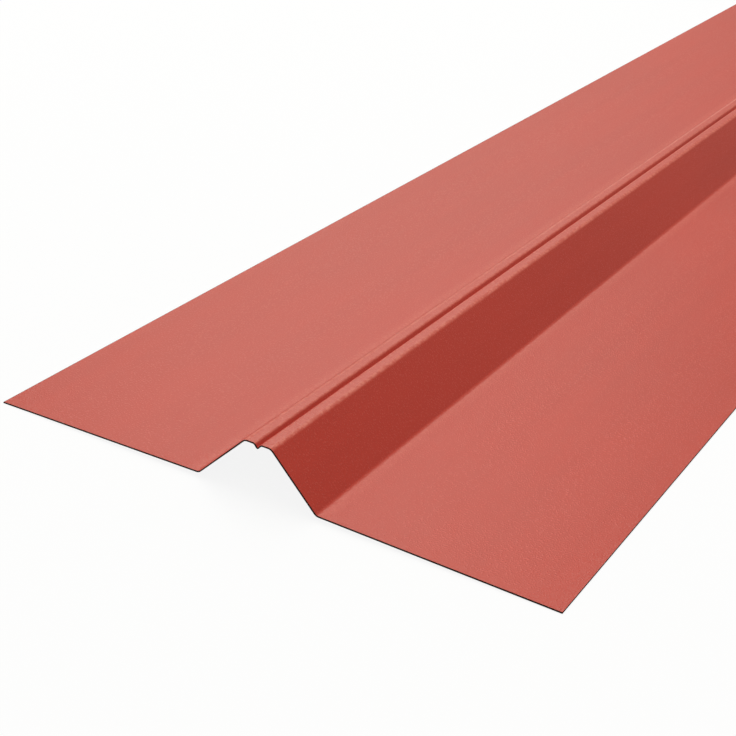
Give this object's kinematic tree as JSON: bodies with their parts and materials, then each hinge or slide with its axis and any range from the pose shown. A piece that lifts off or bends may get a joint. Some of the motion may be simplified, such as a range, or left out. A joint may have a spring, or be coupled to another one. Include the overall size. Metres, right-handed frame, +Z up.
{
  "type": "roof ridge cap",
  "caption": "Flat ridge cap folded from one sheet of painted steel: wide flanges either side of a raised rib with a grooved crown, covering the joint where two roof slopes meet.",
  "frame": {"origin": "on the floor plane under the middle of the ridge line, midway along the length; the flanges' outer edges rest on this plane", "axes": "+X across the ridge, +Y along the ridge, +Z up"},
  "size_m": [0.38, 2, 0.0353],
  "materials": {
    "painted_steel": "matt, finely textured brick-red coating on the top face, plain back coat underneath, bare cut edges"
  },
  "bodies": {
    "root": {"ridge_cap": "painted_steel"}
  },
  "joints": []
}
